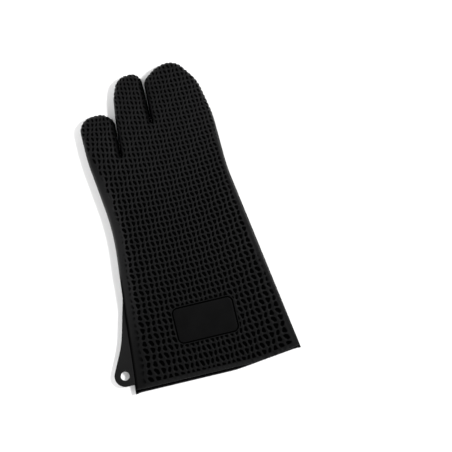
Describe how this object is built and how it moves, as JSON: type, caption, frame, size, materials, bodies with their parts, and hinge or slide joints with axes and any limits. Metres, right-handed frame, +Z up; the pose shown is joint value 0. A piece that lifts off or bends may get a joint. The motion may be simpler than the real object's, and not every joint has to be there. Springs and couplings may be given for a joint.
{
  "type": "heat resistant glove",
  "caption": "Black silicone gauntlet glove with thumb, index and wide mitt stalls, a raised lattice of overlapping rings, a blank cuff badge and a hanging tab.",
  "frame": {"origin": "centre of the bounding box, on the surface that the back of the hand lies on", "axes": "+Y from the cuff's mouth to the fingertips, +Z up out of the palm, +X from the thumb side to the little-finger side"},
  "size_m": [0.2112, 0.3536, 0.027],
  "materials": {
    "silicone": "matt moulded silicone with a soft sheen",
    "badge": "smooth satin silicone"
  },
  "bodies": {
    "cuff": {"cuff_palm": "silicone", "cuff_back": "silicone", "rim_palm": "silicone", "rim_back": "silicone", "hang_tab": "silicone", "badge": "badge"},
    "hand": {"hand_palm": "silicone", "hand_back": "silicone"},
    "knuckles": {"knuckles_palm": "silicone", "knuckles_back": "silicone"},
    "thumb": {"thumb_palm": "silicone", "thumb_back": "silicone"},
    "index_base": {"index_base_palm": "silicone", "index_base_back": "silicone"},
    "index_tip": {"index_tip_palm": "silicone", "index_tip_back": "silicone"},
    "mitt_base": {"mitt_base_palm": "silicone", "mitt_base_back": "silicone"},
    "mitt_tip": {"mitt_tip_palm": "silicone", "mitt_tip_back": "silicone"}
  },
  "joints": [
    {"name": "wrist_flex", "type": "hinge", "parent": "cuff", "child": "hand", "pos_m": [0.004, -0.012, 0.0273], "axis": [1, 0, 0], "range_deg": [0, 45], "stiffness_Nm_per_rad": 0.5},
    {"name": "knuckle_flex", "type": "hinge", "parent": "hand", "child": "knuckles", "pos_m": [0.014, 0.09, 0.0273], "axis": [1, 0, 0], "range_deg": [0, 60], "stiffness_Nm_per_rad": 0.25},
    {"name": "thumb_flex", "type": "hinge", "parent": "hand", "child": "thumb", "pos_m": [-0.06, 0.09, 0.0273], "axis": [1, 0, 0], "range_deg": [0, 60], "stiffness_Nm_per_rad": 0.08},
    {"name": "index_flex", "type": "hinge", "parent": "knuckles", "child": "index_base", "pos_m": [-0.018, 0.121, 0.0273], "axis": [1, 0, 0], "range_deg": [0, 60], "stiffness_Nm_per_rad": 0.06},
    {"name": "index_curl", "type": "hinge", "parent": "index_base", "child": "index_tip", "pos_m": [-0.017, 0.147, 0.0273], "axis": [1, 0, 0], "range_deg": [0, 45], "stiffness_Nm_per_rad": 0.03},
    {"name": "mitt_flex", "type": "hinge", "parent": "knuckles", "child": "mitt_base", "pos_m": [0.034, 0.121, 0.0273], "axis": [1, 0, 0], "range_deg": [0, 60], "stiffness_Nm_per_rad": 0.12},
    {"name": "mitt_curl", "type": "hinge", "parent": "mitt_base", "child": "mitt_tip", "pos_m": [0.031, 0.149, 0.0273], "axis": [1, 0, 0], "range_deg": [0, 45], "stiffness_Nm_per_rad": 0.06}
  ],
  "couplings": [
    {"joint": "index_curl", "follows": "index_flex", "ratio": 0.75},
    {"joint": "mitt_curl", "follows": "mitt_flex", "ratio": 0.75}
  ]
}
